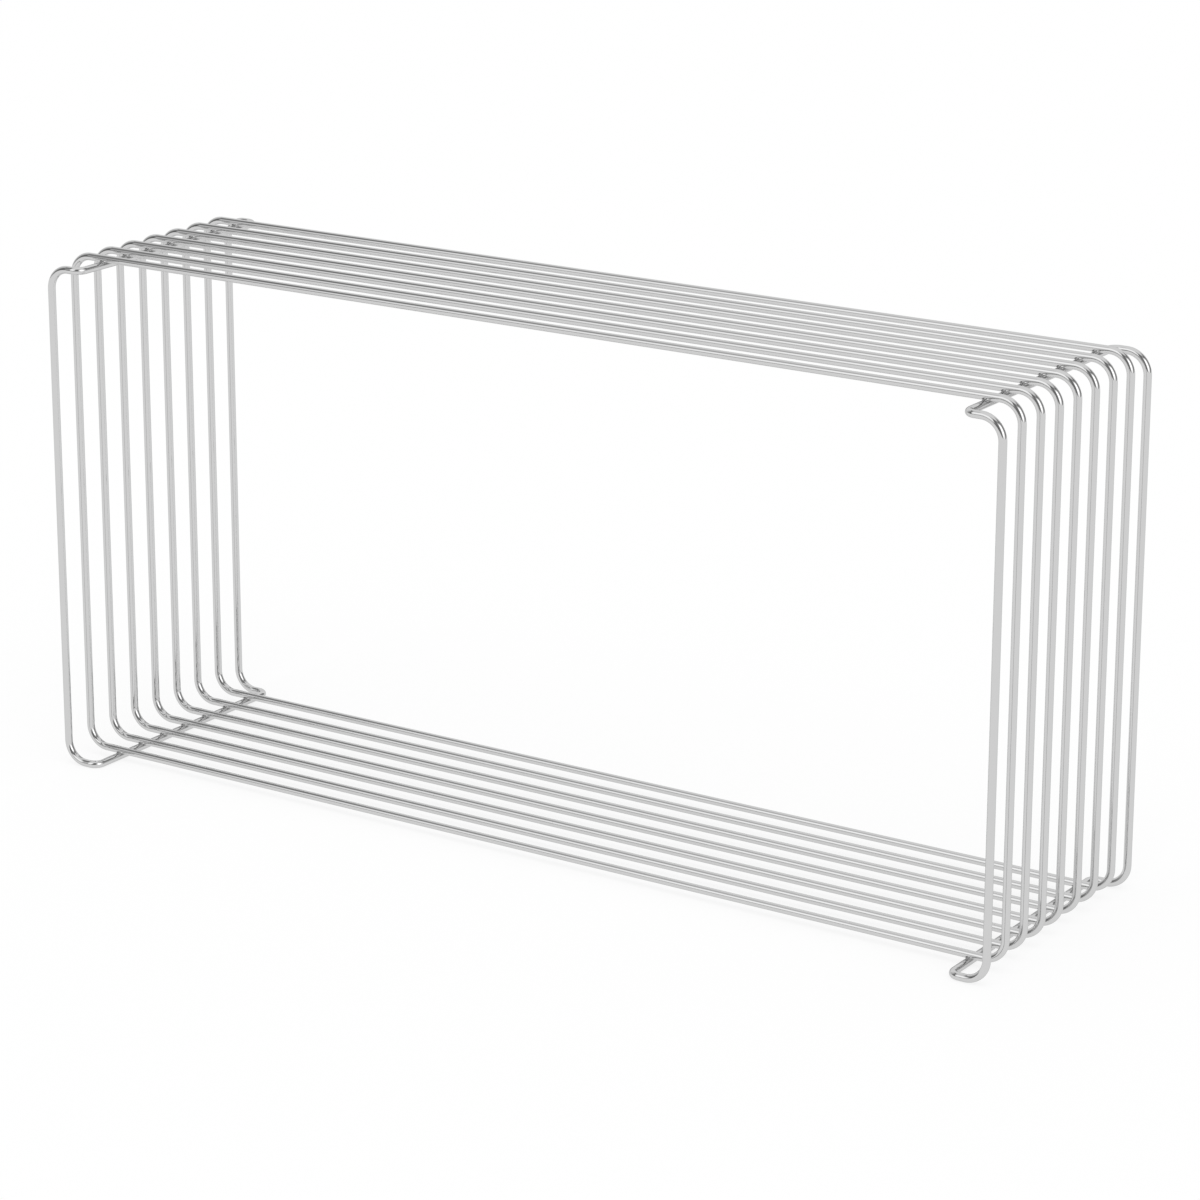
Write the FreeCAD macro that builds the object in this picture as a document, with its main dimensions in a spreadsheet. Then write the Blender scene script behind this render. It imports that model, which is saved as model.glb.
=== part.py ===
import FreeCAD, Part
import os
import Sketcher

# Wire shelf: an open box of bright steel wire that stands on a floor or hangs on a wall.
# Flat hoops of wire, one behind the other, make the top, the bottom and the two sides.
# An end frame at each side is one wire bent in space: an upright at the front and one at the back,
# joined at the top and at the bottom by a cross wire that runs under the hoops.
# Each hoop sits in a shallow seat on all four cross wires, and a ring of weld metal holds it there.
# Each wire is a loop whose two ends meet in a closure weld, ground flush.
#
# Frame: +X to the right seen from the front, +Y to the back, +Z up.
# The origin is on the floor, below the middle of the shelf. Lengths are in millimetres.

SIZES = [
    ("overall_width", 701, "outside width, left to right"),
    ("overall_height", 348, "from the floor to the top of the hoops"),
    ("overall_depth", 188, "outside depth, front upright to back upright"),
    ("wire_diameter", 5, "round wire, the same in every piece"),
    ("hoop_count", 7, "hoops between the front and the back uprights"),
    ("corner_radius", 14, "bend at each corner, to the wire's centre line"),
    ("in_run", 4, "straight wire between a frame's corner bend and its turn"),
    ("turn_radius", 6, "flat turn into a cross wire, to the wire's centre line"),
    ("set_down", 0.25, "how far crossing wires are forged into each other"),
    ("weld_diameter", 4.4, "ring of weld metal at a crossing"),
    ("weld_height", 2.4, "how far that ring reaches from the hoop's side to the cross wire's"),
    ("closure_length", 1.5, "weld metal between the two ends of a wire"),
]

# Places worked out from the sizes, as expressions.
RADIUS = "sizes.wire_diameter / 2"
SIDE = "(sizes.overall_width - sizes.wire_diameter) / 2"
FACE = "(sizes.overall_depth - sizes.wire_diameter) / 2"
PITCH = "(sizes.overall_depth - sizes.wire_diameter) / (sizes.hoop_count + 1)"
STEP = "(sizes.wire_diameter - sizes.set_down)"
HOOP_TOP = f"(sizes.overall_height - {RADIUS})"
HOOP_LOW = f"({RADIUS} + {STEP})"
FRAME_TOP = f"({HOOP_TOP} - {STEP})"
FRAME_LOW = f"({RADIUS})"
MEETING = f"({SIDE} - sizes.corner_radius - sizes.in_run / 2)"
CROSS = f"({SIDE} - sizes.corner_radius - sizes.in_run - sizes.turn_radius)"
HALF_GAP = "sizes.closure_length / 2"
FIRST_HOOP = f"({PITCH} - {FACE})"
# The closure weld of an end frame lies midway between two hoops.
FRAME_CLOSURE = f"(mod(sizes.hoop_count; 2) * {PITCH} / 2)"

# A cut this long goes right through a wire.
THROUGH = "2 * sizes.wire_diameter"

# How a constraint names a sketch's origin, and the start, end and centre of a line, arc or circle.
ORIGIN, START, END, CENTRE = -1, 1, 2, 3

doc = FreeCAD.newDocument("wire_shelf")


def fill_sheet():
    sheet = doc.addObject("Spreadsheet::Sheet", "sizes")
    for row, (alias, number, note) in enumerate(SIZES, start=1):
        sheet.set(f"A{row}", note)
        sheet.set(f"B{row}", str(number))
        sheet.setAlias(f"B{row}", alias)
    doc.recompute()
    return sheet


sheet = fill_sheet()


def number(expression):
    """What an expression comes to with the sizes in the sheet."""
    return float(sheet.evalExpression(expression))


def bind(item, **expressions):
    """Binds properties to expressions; a double underscore stands for a dot."""
    for name, expression in expressions.items():
        item.setExpression(name.replace("__", "."), expression)


def place(item, x="0", y="0", z="0", turn=FreeCAD.Rotation()):
    """Puts a piece at x, y and z, each an expression, turned by a rotation."""
    item.Placement = FreeCAD.Placement(FreeCAD.Vector(), turn)
    bind(item, Placement__Base__x=x, Placement__Base__y=y, Placement__Base__z=z)


def new_body(label):
    body = doc.addObject("PartDesign::Body", label)
    body.Label = label
    return body


def origin_feature(body, role):
    return next(item for item in body.Origin.OriginFeatures if item.Role == role)


def new_sketch(body, name, role, offset="0"):
    """A sketch on one of the body's own planes, moved along the plane's normal."""
    sketch = body.newObject("Sketcher::SketchObject", name)
    sketch.AttachmentSupport = (origin_feature(body, role), [""])
    sketch.MapMode = "FlatFace"
    bind(sketch, AttachmentOffset__Base__z=offset)
    return sketch


def measure(sketch, kind, *where, expression):
    """Adds a dimension and binds it."""
    index = sketch.addConstraint(Sketcher.Constraint(kind, *where, number(expression)))
    sketch.setExpression(f"Constraints[{index}]", expression)


def locate(sketch, geometry, point, u, v):
    """Dimensions a point from the sketch's origin. None leaves that direction free."""
    for kind, expression in (("DistanceX", u), ("DistanceY", v)):
        if expression is not None:
            measure(sketch, kind, ORIGIN, START, geometry, point, expression=expression)


def draw_circle(sketch, u, v, diameter):
    centre = FreeCAD.Vector(number(u), number(v), 0)
    circle = sketch.addGeometry(Part.Circle(centre, FreeCAD.Vector(0, 0, 1), number(diameter) / 2))
    locate(sketch, circle, CENTRE, u, v)
    measure(sketch, "Diameter", circle, expression=diameter)


def draw_bent_line(sketch, corners, bend):
    """Straight runs along the sketch's axes through the corners, with a tangent arc at each bend."""
    points = [FreeCAD.Vector(number(u), number(v), 0) for u, v in corners]
    radius = number(bend)
    headings = [(b - a).normalize() for a, b in zip(points, points[1:])]
    runs, arcs = [], []
    for i, heading in enumerate(headings):
        start = points[i] + heading * (radius if i > 0 else 0)
        end = points[i + 1] - heading * (radius if i + 1 < len(headings) else 0)
        runs.append(sketch.addGeometry(Part.LineSegment(start, end)))
        level = abs(heading.x) > abs(heading.y)
        sketch.addConstraint(Sketcher.Constraint("Horizontal" if level else "Vertical", runs[-1]))
        u, v = corners[i]
        locate(sketch, runs[-1], START, None if level else u, v if level else None)
    for i, (before, after) in enumerate(zip(headings, headings[1:])):
        corner = points[i + 1]
        centre = corner + (after - before) * radius
        middle = centre - (after - before).normalize() * radius
        arc = Part.Arc(corner - before * radius, middle, corner + after * radius)
        arcs.append(sketch.addGeometry(arc))
        # An arc runs anticlockwise, so a turn to the right meets it end first.
        left_turn = before.cross(after).z > 0
        first, last = (START, END) if left_turn else (END, START)
        sketch.addConstraint(Sketcher.Constraint("Tangent", runs[i], END, arcs[i], first))
        sketch.addConstraint(Sketcher.Constraint("Tangent", arcs[i], last, runs[i + 1], START))
        measure(sketch, "Radius", arcs[i], expression=bend)
    for run, point, (u, v), heading in (
        (runs[0], START, corners[0], headings[0]),
        (runs[-1], END, corners[-1], headings[-1]),
    ):
        level = abs(heading.x) > abs(heading.y)
        locate(sketch, run, point, u if level else None, None if level else v)


def sweep_wire(body, name, path, section_at, section_y, section_z):
    """Sweeps a round wire along a path that starts towards X at the given place."""
    section = new_sketch(body, f"{name}_section", "YZ_Plane", section_at)
    draw_circle(section, section_y, section_z, "sizes.wire_diameter")
    doc.recompute()
    pipe = body.newObject("PartDesign::AdditivePipe", name)
    pipe.Profile = section
    pipe.Spine = path
    doc.recompute()
    return pipe


def make_hoop(label, y):
    """A flat hoop, open at the middle of its lower run for the closure weld."""
    body = new_body(label)
    path = new_sketch(body, f"{label}_path", "XZ_Plane")
    corners = [
        (HALF_GAP, HOOP_LOW),
        (SIDE, HOOP_LOW),
        (SIDE, HOOP_TOP),
        (f"-{SIDE}", HOOP_TOP),
        (f"-{SIDE}", HOOP_LOW),
        (f"-{HALF_GAP}", HOOP_LOW),
    ]
    draw_bent_line(path, corners, "sizes.corner_radius")
    sweep_wire(body, f"{label}_wire", path, HALF_GAP, "0", HOOP_LOW)
    place(body, y=y)
    return body


def make_hoop_closure(label, y):
    """Weld metal between the two ends of a hoop, ground to the wire's own size."""
    weld = doc.addObject("Part::Cylinder", label)
    bind(weld, Radius=RADIUS, Height="sizes.closure_length")
    place(weld, f"-{HALF_GAP}", y, HOOP_LOW, FreeCAD.Rotation(FreeCAD.Vector(0, 1, 0), 90))
    return weld


def cut_seats(body, label):
    """Seats for the hoops along the upper and the lower cross wire."""
    whole = body.Shape.Volume
    sketch = new_sketch(body, f"{label}_seat_outline", "YZ_Plane", CROSS)
    for height in (HOOP_TOP, HOOP_LOW):
        draw_circle(sketch, FIRST_HOOP, height, "sizes.wire_diameter")
    doc.recompute()
    seat = body.newObject("PartDesign::Pocket", f"{label}_seat")
    seat.Profile = sketch
    seat.SideType = "Symmetric"
    bind(seat, Length=THROUGH)
    doc.recompute()
    repeat_along_y(body, f"{label}_seats", seat)
    if body.Shape.Volume >= whole:
        raise RuntimeError(f"{label}: the seats cut nothing")


def repeat_along_y(body, name, feature):
    """Repeats a feature once for each hoop, a pitch apart."""
    pattern = body.newObject("PartDesign::LinearPattern", name)
    pattern.Originals = [feature]
    pattern.Direction = (origin_feature(body, "Y_Axis"), [""])
    pattern.Mode = "Spacing"
    bind(pattern, Offset=PITCH, Occurrences="sizes.hoop_count")
    body.Tip = pattern
    doc.recompute()
    return pattern


def make_end_frame(label, turn):
    """One wire bent in space, built for the right-hand side and then turned about +Z."""
    body = new_body(label)
    upright = [(MEETING, FRAME_TOP), (SIDE, FRAME_TOP), (SIDE, FRAME_LOW), (MEETING, FRAME_LOW)]
    upper = [(MEETING, f"-{FACE}"), (CROSS, f"-{FACE}"), (CROSS, FACE), (MEETING, FACE)]
    near_gap = f"({FRAME_CLOSURE} - {HALF_GAP})"
    far_gap = f"({FRAME_CLOSURE} + {HALF_GAP})"
    lower_front = [(MEETING, f"-{FACE}"), (CROSS, f"-{FACE}"), (CROSS, near_gap)]
    lower_back = [(MEETING, FACE), (CROSS, FACE), (CROSS, far_gap)]
    # The normal of the XZ plane points to the front, so the offset is positive there.
    runs = [
        ("front_upright", "XZ_Plane", FACE, upright, "sizes.corner_radius", f"-{FACE}", FRAME_TOP),
        ("upper_cross", "XY_Plane", FRAME_TOP, upper, "sizes.turn_radius", f"-{FACE}", FRAME_TOP),
        ("back_upright", "XZ_Plane", f"-{FACE}", upright, "sizes.corner_radius", FACE, FRAME_TOP),
        ("lower_front", "XY_Plane", FRAME_LOW, lower_front, "sizes.turn_radius", f"-{FACE}", FRAME_LOW),
        ("lower_back", "XY_Plane", FRAME_LOW, lower_back, "sizes.turn_radius", FACE, FRAME_LOW),
    ]
    for name, role, offset, corners, bend, y, z in runs:
        path = new_sketch(body, f"{label}_{name}_path", role, offset)
        draw_bent_line(path, corners, bend)
        sweep_wire(body, f"{label}_{name}", path, MEETING, y, z)
    cut_seats(body, label)
    place(body, turn=turn)
    return body


def make_frame_closure(label, side):
    """Weld metal between the two ends of an end frame, in its lower cross wire."""
    weld = doc.addObject("Part::Cylinder", label)
    bind(weld, Radius=RADIUS, Height="sizes.closure_length")
    along_y = FreeCAD.Rotation(FreeCAD.Vector(1, 0, 0), -90)
    place(weld, f"{side} * {CROSS}", f"{side} * {FRAME_CLOSURE} - {HALF_GAP}", FRAME_LOW, along_y)
    return weld


def make_weld_row(label, side, frame_z):
    """A ring of weld metal at each crossing along one cross wire."""
    body = new_body(label)
    body.AllowCompound = True
    outline = new_sketch(body, f"{label}_outline", "XY_Plane")
    draw_circle(outline, "0", "0", "sizes.weld_diameter")
    doc.recompute()
    ring = body.newObject("PartDesign::Pad", f"{label}_ring")
    ring.Profile = outline
    ring.SideType = "Symmetric"
    bind(ring, Length="sizes.weld_height")
    doc.recompute()
    # The hoop above runs along X and the cross wire below along Y.
    for name, role, height in (("hoop", "YZ_Plane", STEP), ("cross", "XZ_Plane", f"-{STEP}")):
        whole = body.Shape.Volume
        sketch = new_sketch(body, f"{label}_{name}_outline", role)
        draw_circle(sketch, "0", f"{height} / 2", "sizes.wire_diameter")
        doc.recompute()
        cut = body.newObject("PartDesign::Pocket", f"{label}_{name}")
        cut.Profile = sketch
        cut.SideType = "Symmetric"
        bind(cut, Length=THROUGH)
        doc.recompute()
        if body.Shape.Volume >= whole:
            raise RuntimeError(f"{label}: the {name} wire cut nothing")
    pattern = repeat_along_y(body, f"{label}_row", cut)
    pattern.TransformMode = "Whole shape"
    doc.recompute()
    place(body, f"{side} * {CROSS}", FIRST_HOOP, f"{frame_z} + {STEP} / 2")
    return body


def make_shelf():
    pieces = []
    for i in range(int(number("sizes.hoop_count"))):
        y = f"({FIRST_HOOP} + {i} * {PITCH})"
        pieces.append(make_hoop(f"hoop_{i + 1}", y))
        pieces.append(make_hoop_closure(f"hoop_{i + 1}_closure_weld", y))
    for name, side, angle in (("right", 1, 0), ("left", -1, 180)):
        turn = FreeCAD.Rotation(FreeCAD.Vector(0, 0, 1), angle)
        pieces.append(make_end_frame(f"end_frame_{name}", turn))
        pieces.append(make_frame_closure(f"end_frame_{name}_closure_weld", side))
        for level, frame_z in (("top", FRAME_TOP), ("bottom", FRAME_LOW)):
            pieces.append(make_weld_row(f"welds_{level}_{name}", side, frame_z))
    return pieces


def check(pieces):
    """Stops if anything in the document failed or a piece has no sound shape."""
    for item in doc.Objects:
        if {"Invalid", "Error"} & set(item.State):
            raise RuntimeError(f"{item.Name} is {item.State}")
    for piece in pieces:
        if piece.Shape.isNull() or not piece.Shape.isValid() or not piece.Shape.Solids:
            raise RuntimeError(f"{piece.Label} has no sound shape")


def write(pieces):
    os.makedirs("parts", exist_ok=True)
    for piece in pieces:
        piece.Shape.exportStep(f"parts/{piece.Label}.step")
        print(f"{piece.Label}: {len(piece.Shape.Solids)} solids, {piece.Shape.Volume:.2f} mm3")


pieces = make_shelf()
doc.recompute()
check(pieces)
write(pieces)
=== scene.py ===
"""The looks of an open box shelf: bright chromed wire, its welds, and a plain white studio round it."""

import math

import bpy
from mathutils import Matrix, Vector


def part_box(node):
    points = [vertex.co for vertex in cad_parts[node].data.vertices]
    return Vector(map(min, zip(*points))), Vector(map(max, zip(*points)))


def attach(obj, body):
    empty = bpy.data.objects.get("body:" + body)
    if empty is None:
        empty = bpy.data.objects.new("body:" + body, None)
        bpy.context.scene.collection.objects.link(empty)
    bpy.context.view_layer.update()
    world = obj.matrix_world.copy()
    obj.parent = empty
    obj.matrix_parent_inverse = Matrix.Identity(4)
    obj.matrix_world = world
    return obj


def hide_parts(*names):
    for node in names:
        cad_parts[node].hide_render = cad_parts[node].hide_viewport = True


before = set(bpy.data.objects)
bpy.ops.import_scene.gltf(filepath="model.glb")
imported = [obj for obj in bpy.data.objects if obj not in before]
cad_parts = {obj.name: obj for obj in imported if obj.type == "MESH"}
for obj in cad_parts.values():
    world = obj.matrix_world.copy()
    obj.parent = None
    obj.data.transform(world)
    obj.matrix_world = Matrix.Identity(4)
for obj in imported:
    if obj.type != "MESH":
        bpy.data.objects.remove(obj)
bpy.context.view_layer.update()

# Names in the frame
BODY = "root"
CLOSURE = "_closure_weld"
HOOPS = sorted(
    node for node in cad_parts
    if node.startswith("hoop_") and not node.endswith(CLOSURE)
)
LEVELS = ("top", "bottom")
SIDES = ("left", "right")

# Names of what points keep
LAID_OUT = "laid_out"        # where a point of a wire lies on the wire laid out straight
WALL_LIGHT = "light"         # the light from a point of the studio wall

# Sizes of the shelf, in metres
MM = 0.001
WIRE_RADIUS = (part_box(HOOPS[0])[1].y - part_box(HOOPS[0])[0].y) / 2
CORNER_RADIUS = 14 * MM      # bends in the upright planes, at the middle of the wire
TURN_RADIUS = 6 * MM         # level bends at the ends of the cross wires
FILLET_REACH = 2.2 * MM      # how far a weld's metal spreads from the middle of a crossing
FILLET_WAIST = 1.6 * MM      # how far it goes half-way between the two wires
FILLET_UNEVEN = 0.12 * MM    # how much the edge of the spread metal wanders
FILLET_WAVES = ((3, 1), (5, -2))  # waves round that edge, and their turn from weld to weld in radians
FILLET_SINK = 0.03 * MM      # the thin edge of the spread metal ends just below the wire's surface
FILLET_ROOT = 0.9 * MM       # inner side of a weld's ring, hidden where the two wires overlap
FILLET_DEPTH = 0.3 * MM      # how deep the hidden side lies below the wire's surface
CLOSURE_SWELL = 0.004 * MM   # a closure weld is ground almost flush

# How finely round shapes are divided
TUBE_SIDES = 48
BEND_STEPS = 24
GUARD = 0.4 * MM             # a ring this close to each bend keeps the straight run's surface straight
SWELL_STEPS = 12
FILLET_SIDES = 48
FILLET_STEPS = 10
FLOOR_SIDES = 96
SHARP_ANGLE = 50.0           # degrees between faces at a sharp edge
WALL_STEP = 0.75             # degrees

# Bright chrome plate on drawn wire
WIRE_COLOUR = (0.62, 0.62, 0.62, 1.0)
WIRE_HAZED = (0.61, 0.61, 0.61, 1.0)
WIRE_ROUGHNESS = (0.02, 0.06)
EDGE_TINT = (0.76, 0.76, 0.76, 1.0)  # chrome grows no brighter towards its outline
LINE_WIDTH = 0.18 * MM       # faint lines left by drawing the wire
LINE_LENGTH = 35 * MM
LINE_DEPTH = 0.0002 * MM
LINE_DETAIL = 2.0            # how much finer the finest noise is, in doublings
HAZE_SIZE = 9 * MM           # patches where the plate is less bright
HAZE_DETAIL = 3.0

# Chrome plate over a weld that was ground flush
GROUND_COLOUR = (0.60, 0.60, 0.60, 1.0)
GROUND_ROUGHNESS = (0.04, 0.10)
GRIND_WIDTH = 0.06 * MM      # fine marks round the wire, left by the grinding
GRIND_LENGTH = 2 * MM
GRIND_DEPTH = 0.0001 * MM
GRIND_DETAIL = 2.0

# Chrome plate over weld metal
WELD_COLOUR = (0.57, 0.57, 0.57, 1.0)
WELD_DULL = (0.50, 0.50, 0.50, 1.0)
WELD_ROUGHNESS = (0.12, 0.26)
GRAIN_SIZE = 0.22 * MM
GRAIN_DEPTH = 0.006 * MM
GRAIN_DETAIL = 4.0

# Studio, in metres, degrees and levels of light, where 1 is white
WHITE = (1.0, 1.0, 1.0, 1.0)
FLOOR_RADIUS = 10.0
FLOOR_COLOUR = (0.92, 0.92, 0.92, 1.0)
FLOOR_GLOW = 0.8             # share of the floor shown as plain white; the rest takes light and shadow
WORLD_LEVEL = 0.8            # the world's light on what scatters it
LAMP_ANGLE = 50.0            # how wide the lamp looks, so that its shadow is soft
LAMP_TILT = (20.0, 15.0)     # to the front and to the right of straight above
LAMP_POWER = 0.98

# Grey wall at the front and sides. Azimuth 0 is behind the shelf, 90 at its right and 180 in front.
WALL_RADIUS = 24.0
WALL_LEVEL = (0.30, 0.16)    # its light at the right and the left end
WALL_RIGHT_END = (20.0, 21.0)    # azimuths over which the wall turns into the white backdrop
WALL_LEFT_END = (227.0, 291.0)
WALL_BASE = -12.0            # it goes on below the floor, which ends before it
WALL_TOP = (46.0, 67.0)      # elevations over which it turns into the white ceiling
RAIL_LEVEL = 0.0             # a black rail along the top of the wall
RAIL_RISE = (45.1, 53.2)
RAIL_LEFT_END = (274.0, 307.0)

# Softboxes on the wall, each over the one before it. Of a pair, the first number is for the right side
# or the lower edge, and the second for the left side or the upper edge. Blur and rise say how far these
# fade each way. Flare is how far a side moves to the left for each degree above FLARE_MIDDLE.
FLARE_MIDDLE = 25.0          # the elevation at which a softbox has the azimuths that it states
SOFTBOXES = (
    {
        "light": 2.95,
        "azimuth": (91.0, 126.0),
        "blur": (36.5, 21.0),
        "flare": (0.0, 0.0),
        "elevation": (1.6, 45.7),
        "rise": (19.0, 9.3),
    },
    {
        "light": 1.02,
        "azimuth": (177.0, 225.0),
        "blur": (1.2, 5.5),
        "flare": (-0.57, 0.46),
        "elevation": (5.6, 47.5),
        "rise": (1.0, 19.0),
    },
    {
        "light": 1.49,
        "azimuth": (176.0, 217.4),
        "blur": (7.2, 9.2),
        "flare": (0.0, 0.35),
        "elevation": (20.3, 60.0),
        "rise": (10.0, 40.0),
    },
)

# Camera
CAMERA_PLACE = (1.33529, -1.99553, 0.89969)
CAMERA_DOWN = 16.2889        # degrees below level
CAMERA_ROUND = 33.7559       # degrees round from straight in front, to the right
CAMERA_LENS = 118.91         # mm
CAMERA_SENSOR = 36.0         # mm wide
CAMERA_SHIFT = (0.019216, -0.059255)
CAMERA_FAR = 200.0           # metres, well beyond the studio


# Objects and meshes

def link_object(name, data):
    """A new object in the scene that shows some mesh, lamp or camera data."""
    made = bpy.data.objects.new(name, data)
    bpy.context.scene.collection.objects.link(made)
    return made


def add_piece(mesh, node, material):
    """A piece that stands for a node of the frame and moves with the shelf."""
    mesh.materials.append(material)
    piece = link_object(mesh.name, mesh)
    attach(piece, BODY)
    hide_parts(node)


def smooth_mesh(name, points, faces):
    """A new mesh, smooth but for its sharp edges."""
    mesh = bpy.data.meshes.new(name)
    mesh.from_pydata(points, [], faces)
    mesh.validate()
    mesh.shade_smooth()
    mesh.set_sharp_from_angle(angle=math.radians(SHARP_ANGLE))
    return mesh


# Centre lines of the wires

def centre_box(node):
    """Lowest and highest corner of a wire's centre line."""
    low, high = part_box(node)
    inset = Vector((WIRE_RADIUS, WIRE_RADIUS, WIRE_RADIUS))
    return low + inset, high - inset


def bend(corner, before, after, radius):
    """Points and directions along an arc that rounds a corner, with a guard on each side."""
    turn = before.angle(after)
    inward = (after - before * math.cos(turn)).normalized()
    setback = radius * math.tan(turn / 2)
    start = corner - before * setback
    end = corner + after * setback
    centre = start + inward * radius
    line = [(start - before * GUARD, before)]
    for step in range(BEND_STEPS + 1):
        angle = turn * step / BEND_STEPS
        across = before * math.sin(angle) - inward * math.cos(angle)
        along = before * math.cos(angle) + inward * math.sin(angle)
        line.append((centre + across * radius, along))
    line.append((end + after * GUARD, after))
    return line


def bent_line(corners, radii):
    """Points and directions along straight runs that are joined by bends."""
    runs = [(end - start).normalized() for start, end in zip(corners, corners[1:])]
    line = [(corners[0], runs[0])]
    for corner, before, after, radius in zip(corners[1:-1], runs, runs[1:], radii):
        line += bend(corner, before, after, radius)
    line.append((corners[-1], runs[-1]))
    return line


def hoop_line(node):
    """One flat hoop, from one side of its closure weld round to the other."""
    low, high = centre_box(node)
    gap_low, gap_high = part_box(node + CLOSURE)
    path = [
        (gap_high.x, low.z),
        (high.x, low.z),
        (high.x, high.z),
        (low.x, high.z),
        (low.x, low.z),
        (gap_low.x, low.z),
    ]
    corners = [Vector((x, low.y, z)) for x, z in path]
    return bent_line(corners, [CORNER_RADIUS] * len(corners[1:-1]))


def end_frame_line(node):
    """One end frame: two uprights, and cross wires that lie further in, bent from one wire."""
    low, high = centre_box(node)
    gap_low, gap_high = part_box(node + CLOSURE)
    cross, side = sorted((low.x, high.x), key=abs)
    corners = [
        Vector((cross, gap_high.y, low.z)),
        Vector((cross, high.y, low.z)),
        Vector((side, high.y, low.z)),
        Vector((side, high.y, high.z)),
        Vector((cross, high.y, high.z)),
        Vector((cross, low.y, high.z)),
        Vector((side, low.y, high.z)),
        Vector((side, low.y, low.z)),
        Vector((cross, low.y, low.z)),
        Vector((cross, gap_low.y, low.z)),
    ]
    half = [TURN_RADIUS, CORNER_RADIUS, CORNER_RADIUS, TURN_RADIUS]
    return bent_line(corners, half + half)


# Wires

def tube_points(line, swell):
    """Rings of points round a centre line, and where each lies on the wire laid out straight."""
    points = []
    laid_out = []
    total = sum((end - start).length for (start, _), (end, _) in zip(line, line[1:]))
    up = line[0][1].orthogonal().normalized()
    before = line[0]
    length = 0.0
    for place, along in line:
        up = before[1].rotation_difference(along) @ up
        length += (place - before[0]).length
        across = along.cross(up)
        radius = WIRE_RADIUS + swell * math.sin(math.pi * length / total)
        for side in range(TUBE_SIDES):
            angle = math.tau * side / TUBE_SIDES
            flat = (math.cos(angle) * radius, math.sin(angle) * radius)
            points.append(place + up * flat[0] + across * flat[1])
            laid_out.append((*flat, length))
        before = (place, along)
    return points, laid_out


def tube_faces(rings):
    """Faces between each ring of points and the next, and a flat one at each end."""
    faces = []
    for ring in range(rings - 1):
        here = ring * TUBE_SIDES
        there = here + TUBE_SIDES
        for side in range(TUBE_SIDES):
            after = (side + 1) % TUBE_SIDES
            faces.append((here + side, here + after, there + after, there + side))
    last = (rings - 1) * TUBE_SIDES
    faces.append(tuple(reversed(range(TUBE_SIDES))))
    faces.append(tuple(range(last, last + TUBE_SIDES)))
    return faces


def tube_mesh(name, line, swell=0.0):
    """A round wire along a centre line. If it swells, it is fatter in the middle.

    Its points keep where they lie on the wire laid out straight, for the finish to follow.
    """
    points, laid_out = tube_points(line, swell)
    mesh = smooth_mesh(name, points, tube_faces(len(line)))
    kept = mesh.attributes.new(LAID_OUT, "FLOAT_VECTOR", "POINT")
    kept.data.foreach_set("vector", [value for place in laid_out for value in place])
    return mesh


def make_wire(node, line, material):
    """The bent wire of a hoop or an end frame."""
    add_piece(tube_mesh(node + "_wire", line), node, material)


# Welds

def make_closure(node, line, material):
    """The ground weld between the two ends of a wire."""
    start, along = line[-1]
    end = line[0][0]
    fill = [(start.lerp(end, step / SWELL_STEPS), along) for step in range(SWELL_STEPS + 1)]
    mesh = tube_mesh(node + "_closure_fill", fill, CLOSURE_SWELL)
    add_piece(mesh, node + CLOSURE, material)


def fillet_section(angle, reach, low_z, high_z):
    """Section of a weld's ring in an upright plane: a hollow outer side, and one hidden in the wires.

    The lower wire runs along Y and the upper one along X. Points are (distance out, height).
    """
    def lower(out):
        return low_z + math.sqrt(WIRE_RADIUS**2 - (out * math.cos(angle)) ** 2)

    def upper(out):
        return high_z - math.sqrt(WIRE_RADIUS**2 - (out * math.sin(angle)) ** 2)

    bottom = Vector((reach, lower(reach) - FILLET_SINK))
    top = Vector((reach, upper(reach) + FILLET_SINK))
    waist = Vector((FILLET_WAIST, (lower(FILLET_WAIST) + upper(FILLET_WAIST)) / 2))
    pull = waist * 2 - (bottom + top) / 2  # bends the outer side so that it passes through the waist
    section = []
    for step in range(FILLET_STEPS + 1):
        share = step / FILLET_STEPS
        section.append(bottom * (1 - share) ** 2 + pull * (2 * share * (1 - share)) + top * share**2)
    section.append(Vector((FILLET_ROOT, upper(FILLET_ROOT) + FILLET_DEPTH)))
    section.append(Vector((FILLET_ROOT, lower(FILLET_ROOT) - FILLET_DEPTH)))
    return section


def fillet_ring(x, y, low_z, high_z, order):
    """Points and faces of the metal squeezed out at one crossing, uneven in its own way."""
    points = []
    for side in range(FILLET_SIDES):
        angle = math.tau * side / FILLET_SIDES
        waves = [math.sin(count * angle + turn * order) for count, turn in FILLET_WAVES]
        reach = FILLET_REACH - FILLET_UNEVEN * (1 + sum(waves) / len(waves)) / 2
        for out, z in fillet_section(angle, reach, low_z, high_z):
            points.append((x + out * math.cos(angle), y + out * math.sin(angle), z))
    size = len(points) // FILLET_SIDES
    faces = []
    for side in range(FILLET_SIDES):
        here = side * size
        there = (side + 1) % FILLET_SIDES * size
        for step in range(size):
            after = (step + 1) % size
            faces.append((here + step, there + step, there + after, here + after))
    return points, faces


def make_weld_row(level, side, material):
    """The welds of all hoops on one cross wire."""
    node = f"welds_{level}_{side}"
    end = 1 if level == "top" else 0
    row_low, row_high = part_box(node)
    cross_z = centre_box(f"end_frame_{side}")[end].z
    points = []
    faces = []
    for order, hoop in enumerate(HOOPS):
        wire = centre_box(hoop)[end]
        ring, around = fillet_ring((row_low.x + row_high.x) / 2, wire.y, cross_z, wire.z, order)
        faces += [tuple(len(points) + corner for corner in face) for face in around]
        points += ring
    add_piece(smooth_mesh(node + "_fillets", points, faces), node, material)


# Finishes

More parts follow.
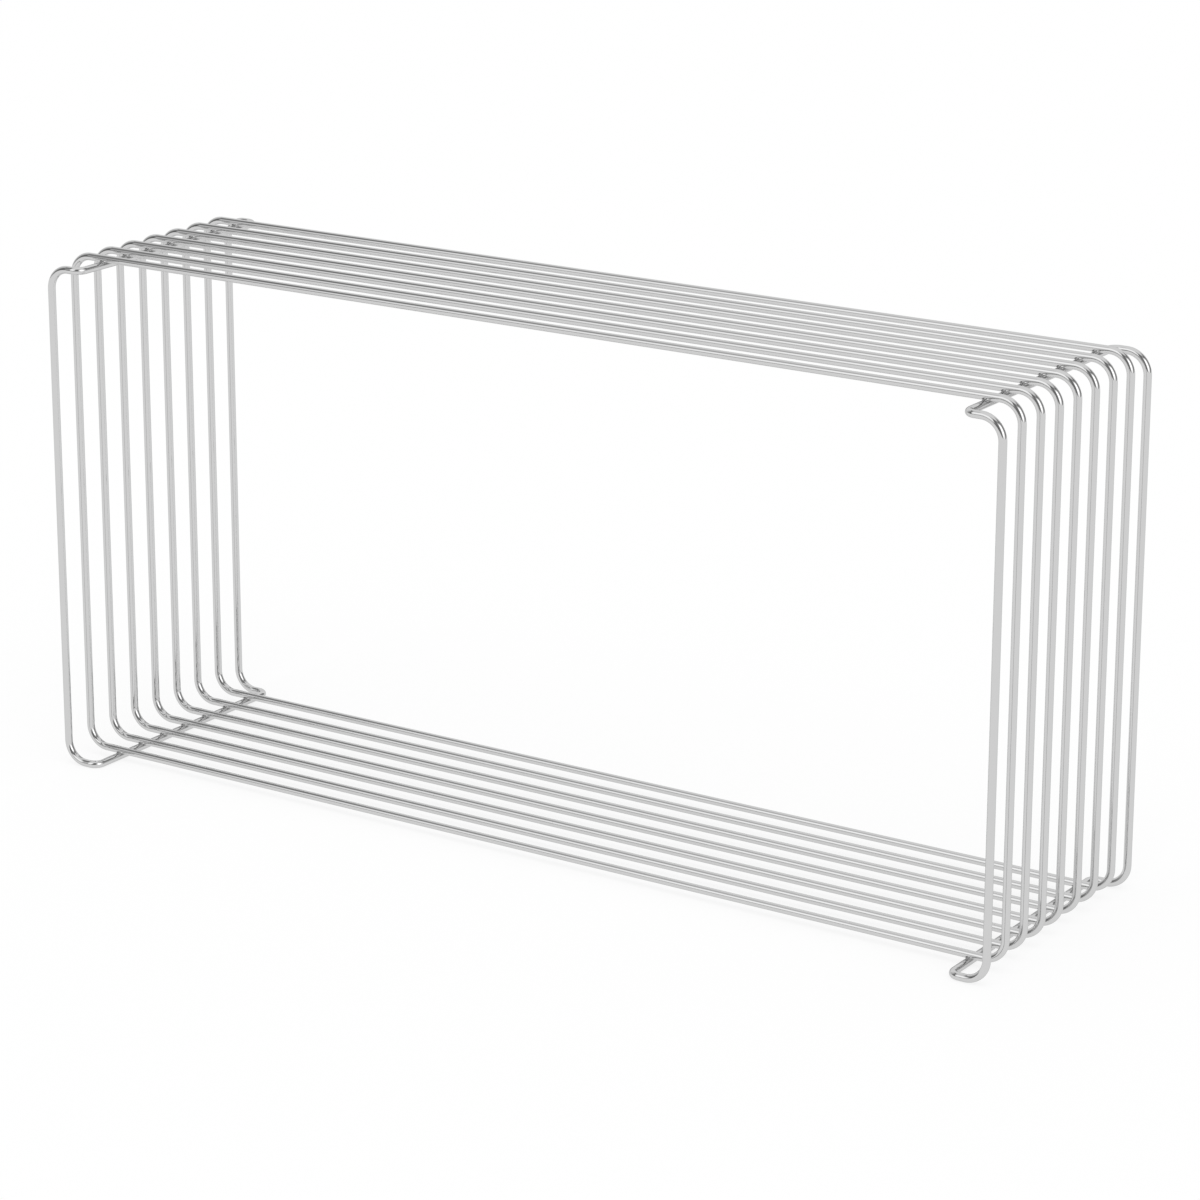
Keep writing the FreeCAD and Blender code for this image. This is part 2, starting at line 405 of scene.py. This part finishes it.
def metal_material(name):
    """A material with a metallic surface shader, and that shader."""
    material = bpy.data.materials.new(name)
    material.use_nodes = True
    shader = material.node_tree.nodes["Principled BSDF"]
    shader.inputs["Metallic"].default_value = 1.0
    shader.inputs["Specular Tint"].default_value = EDGE_TINT
    return material, shader


def place_on_wire(tree):
    """Where a point lies on the wire laid out straight."""
    laid_out = tree.nodes.new("ShaderNodeAttribute")
    laid_out.attribute_name = LAID_OUT
    return laid_out.outputs["Vector"]


def noise_of(tree, place, size, detail):
    """Noise that follows some coordinates, with spots of some size along each axis."""
    divided = tree.nodes.new("ShaderNodeVectorMath")
    divided.operation = "DIVIDE"
    divided.inputs[1].default_value = size
    noise = tree.nodes.new("ShaderNodeTexNoise")
    noise.inputs["Scale"].default_value = 1.0
    noise.inputs["Detail"].default_value = detail
    tree.links.new(place, divided.inputs[0])
    tree.links.new(divided.outputs[0], noise.inputs["Vector"])
    return noise.outputs["Fac"]


def vary_finish(tree, shader, amount, colours, roughness):
    """Colour and roughness that go from one end to the other with some noise."""
    colour = tree.nodes.new("ShaderNodeMix")
    colour.data_type = "RGBA"
    colour.inputs["A"].default_value = colours[0]
    colour.inputs["B"].default_value = colours[1]
    rough = tree.nodes.new("ShaderNodeMapRange")
    rough.inputs["To Min"].default_value = roughness[0]
    rough.inputs["To Max"].default_value = roughness[1]
    tree.links.new(amount, colour.inputs["Factor"])
    tree.links.new(amount, rough.inputs["Value"])
    tree.links.new(colour.outputs["Result"], shader.inputs["Base Color"])
    tree.links.new(rough.outputs["Result"], shader.inputs["Roughness"])


def roughen(tree, shader, height, depth):
    """Relief of some depth on the surface."""
    relief = tree.nodes.new("ShaderNodeBump")
    relief.inputs["Distance"].default_value = depth
    tree.links.new(height, relief.inputs["Height"])
    tree.links.new(relief.outputs["Normal"], shader.inputs["Normal"])


def wire_chrome():
    """Bright chrome plate: a mirror with faint drawn lines along the wire and patches of haze."""
    material, shader = metal_material("wire_chrome")
    tree = material.node_tree
    place = place_on_wire(tree)
    haze = noise_of(tree, place, (HAZE_SIZE, HAZE_SIZE, HAZE_SIZE), HAZE_DETAIL)
    lines = noise_of(tree, place, (LINE_WIDTH, LINE_WIDTH, LINE_LENGTH), LINE_DETAIL)
    vary_finish(tree, shader, haze, (WIRE_COLOUR, WIRE_HAZED), WIRE_ROUGHNESS)
    roughen(tree, shader, lines, LINE_DEPTH)
    return material


def ground_chrome():
    """Chrome plate over a weld ground flush: nearly as bright as the wire, with fine marks round it."""
    material, shader = metal_material("ground_chrome")
    tree = material.node_tree
    marks = noise_of(tree, place_on_wire(tree), (GRIND_LENGTH, GRIND_LENGTH, GRIND_WIDTH), GRIND_DETAIL)
    vary_finish(tree, shader, marks, (WIRE_COLOUR, GROUND_COLOUR), GROUND_ROUGHNESS)
    roughen(tree, shader, marks, GRIND_DEPTH)
    return material


def weld_chrome():
    """Chrome plate over weld metal: duller than the wire, with a fine grain."""
    material, shader = metal_material("weld_chrome")
    tree = material.node_tree
    place = tree.nodes.new("ShaderNodeTexCoord").outputs["Object"]
    grain = noise_of(tree, place, (GRAIN_SIZE, GRAIN_SIZE, GRAIN_SIZE), GRAIN_DETAIL)
    vary_finish(tree, shader, grain, (WELD_COLOUR, WELD_DULL), WELD_ROUGHNESS)
    roughen(tree, shader, grain, GRAIN_DEPTH)
    return material


# Studio

def shown_rays(tree):
    """1 for rays from the camera and those mirrored by metal or seen through glass, else 0."""
    rays = tree.nodes.new("ShaderNodeLightPath")
    shown = rays.outputs["Is Camera Ray"]
    for kind in ("Is Glossy Ray", "Is Transmission Ray"):
        either = tree.nodes.new("ShaderNodeMath")
        either.operation = "MAXIMUM"
        tree.links.new(shown, either.inputs[0])
        tree.links.new(rays.outputs[kind], either.inputs[1])
        shown = either.outputs[0]
    return shown


def scaled(tree, value, low, high):
    """Low where a value is 0 and high where it is 1."""
    span = tree.nodes.new("ShaderNodeMapRange")
    span.inputs["To Min"].default_value = low
    span.inputs["To Max"].default_value = high
    tree.links.new(value, span.inputs["Value"])
    return span.outputs["Result"]


def studio_material(name):
    """A material with no shader yet, and its nodes."""
    material = bpy.data.materials.new(name)
    material.use_nodes = True
    material.node_tree.nodes.clear()
    return material, material.node_tree


# Floor

def floor_material():
    """Pale and matt, shown as white but for a share that takes the shelf's shadow."""
    material, tree = studio_material("studio_floor")
    matt = tree.nodes.new("ShaderNodeBsdfDiffuse")
    matt.inputs["Color"].default_value = FLOOR_COLOUR
    glow = tree.nodes.new("ShaderNodeEmission")
    glow.inputs["Color"].default_value = WHITE
    mix = tree.nodes.new("ShaderNodeMixShader")
    output = tree.nodes.new("ShaderNodeOutputMaterial")
    tree.links.new(scaled(tree, shown_rays(tree), 0.0, FLOOR_GLOW), mix.inputs["Fac"])
    tree.links.new(matt.outputs[0], mix.inputs[1])
    tree.links.new(glow.outputs[0], mix.inputs[2])
    tree.links.new(mix.outputs[0], output.inputs["Surface"])
    return material


def make_floor():
    """A wide level floor that the shelf stands on."""
    angles = [math.tau * side / FLOOR_SIDES for side in range(FLOOR_SIDES)]
    rim = [(FLOOR_RADIUS * math.cos(angle), FLOOR_RADIUS * math.sin(angle), 0.0) for angle in angles]
    mesh = bpy.data.meshes.new("studio_floor")
    mesh.from_pydata(rim, [], [range(FLOOR_SIDES)])
    mesh.materials.append(floor_material())
    link_object("studio_floor", mesh)


# Wall

def ease(start, end, value):
    """0 before start, 1 after end, and a smooth rise between them."""
    share = min(max((value - start) / (end - start), 0.0), 1.0)
    return share * share * (3 - 2 * share)


def soft_band(span, blur, value):
    """1 within a span and 0 outside it, blurred by so much on each side of its ends."""
    start, end = span
    begun = ease(start - blur[0], start + blur[0], value)
    ended = ease(end - blur[1], end + blur[1], value)
    return begun * (1 - ended)


def blend(start, end, share):
    """A value some share of the way from start to end."""
    return start + (end - start) * share


def softbox_cover(box, azimuth, elevation):
    """1 in the middle of a softbox, 0 outside it."""
    lean = elevation - FLARE_MIDDLE
    sides = [side + flare * lean for side, flare in zip(box["azimuth"], box["flare"])]
    return soft_band(sides, box["blur"], azimuth) * soft_band(box["elevation"], box["rise"], elevation)


def wall_light(azimuth, elevation):
    """Light from one place on the wall."""
    share = (azimuth - WALL_RIGHT_END[1]) / (WALL_LEFT_END[0] - WALL_RIGHT_END[1])
    level = blend(*WALL_LEVEL, min(max(share, 0.0), 1.0))
    right = 1 - ease(*WALL_RIGHT_END, azimuth)
    left = ease(*WALL_LEFT_END, azimuth)
    light = blend(level, 1.0, max(right, left))
    rail = ease(*RAIL_RISE, elevation) * (1 - ease(*RAIL_LEFT_END, azimuth)) * (1 - right)
    light = blend(light, RAIL_LEVEL, rail)
    for box in SOFTBOXES:
        light = blend(light, box["light"], softbox_cover(box, azimuth, elevation))
    return blend(light, 1.0, ease(*WALL_TOP, elevation))


def wall_material():
    """Gives off the light that each point of the wall keeps."""
    material, tree = studio_material("studio_wall")
    light = tree.nodes.new("ShaderNodeAttribute")
    light.attribute_name = WALL_LIGHT
    glow = tree.nodes.new("ShaderNodeEmission")
    glow.inputs["Color"].default_value = WHITE
    output = tree.nodes.new("ShaderNodeOutputMaterial")
    tree.links.new(light.outputs["Fac"], glow.inputs["Strength"])
    tree.links.new(glow.outputs[0], output.inputs["Surface"])
    return material


def even_steps(start, end):
    """Angles from start to end, in even steps."""
    count = round((end - start) / WALL_STEP)
    return [start + (end - start) * step / count for step in range(count + 1)]


def grid_faces(rows, columns):
    """Faces between the points of a grid, row by row."""
    faces = []
    for row in range(rows - 1):
        for column in range(columns - 1):
            corner = row * columns + column
            faces.append((corner, corner + 1, corner + columns + 1, corner + columns))
    return faces


def wall_mesh():
    """A round wall whose points keep their light."""
    azimuths = even_steps(WALL_RIGHT_END[0], RAIL_LEFT_END[1])
    elevations = even_steps(WALL_BASE, WALL_TOP[1])
    points = []
    lights = []
    for elevation in elevations:
        height = WALL_RADIUS * math.tan(math.radians(elevation))
        for azimuth in azimuths:
            angle = math.radians(azimuth)
            points.append((WALL_RADIUS * math.sin(angle), WALL_RADIUS * math.cos(angle), height))
            lights.append(wall_light(azimuth, elevation))
    mesh = bpy.data.meshes.new("studio_wall")
    mesh.from_pydata(points, [], grid_faces(len(elevations), len(azimuths)))
    mesh.attributes.new(WALL_LIGHT, "FLOAT", "POINT").data.foreach_set("value", lights)
    mesh.materials.append(wall_material())
    return mesh


def make_wall():
    """A round grey wall with softboxes, which only the chrome's reflections show."""
    wall = link_object("studio_wall", wall_mesh())
    wall.visible_camera = False
    wall.visible_diffuse = False
    wall.visible_shadow = False


# Light and camera

def make_lamp():
    """A wide soft lamp above the shelf, for its shadow on the floor."""
    data = bpy.data.lights.new("studio_lamp", "SUN")
    data.angle = math.radians(LAMP_ANGLE)
    data.energy = LAMP_POWER
    lamp = link_object("studio_lamp", data)
    lamp.rotation_euler = (math.radians(LAMP_TILT[0]), math.radians(LAMP_TILT[1]), 0.0)
    lamp.visible_camera = False
    lamp.visible_glossy = False


def make_world():
    """White where the camera or the metal sees it, and a plain level of light from all round."""
    world = bpy.data.worlds.new("studio_world")
    world.use_nodes = True
    tree = world.node_tree
    background = tree.nodes["Background"]
    background.inputs["Color"].default_value = WHITE
    tree.links.new(scaled(tree, shown_rays(tree), WORLD_LEVEL, 1.0), background.inputs["Strength"])
    bpy.context.scene.world = world


def make_camera():
    """The camera, a little above the shelf and to its right."""
    data = bpy.data.cameras.new("camera")
    data.sensor_width = CAMERA_SENSOR
    data.lens = CAMERA_LENS
    data.shift_x, data.shift_y = CAMERA_SHIFT
    data.clip_end = CAMERA_FAR
    camera = link_object("camera", data)
    camera.location = CAMERA_PLACE
    camera.rotation_euler = (math.pi / 2 - math.radians(CAMERA_DOWN), 0.0, math.radians(CAMERA_ROUND))
    bpy.context.scene.camera = camera


# The whole scene

def make_shelf():
    """All wires and welds of the shelf."""
    wire = wire_chrome()
    ground = ground_chrome()
    weld = weld_chrome()
    lines = {hoop: hoop_line(hoop) for hoop in HOOPS}
    lines.update({f"end_frame_{side}": end_frame_line(f"end_frame_{side}") for side in SIDES})
    for node, line in lines.items():
        make_wire(node, line, wire)
        make_closure(node, line, ground)
    for level in LEVELS:
        for side in SIDES:
            make_weld_row(level, side, weld)


def make_studio():
    """Floor, wall, light and camera."""
    make_floor()
    make_wall()
    make_lamp()
    make_world()
    make_camera()
    bpy.context.scene.view_settings.view_transform = "Standard"


make_shelf()
make_studio()
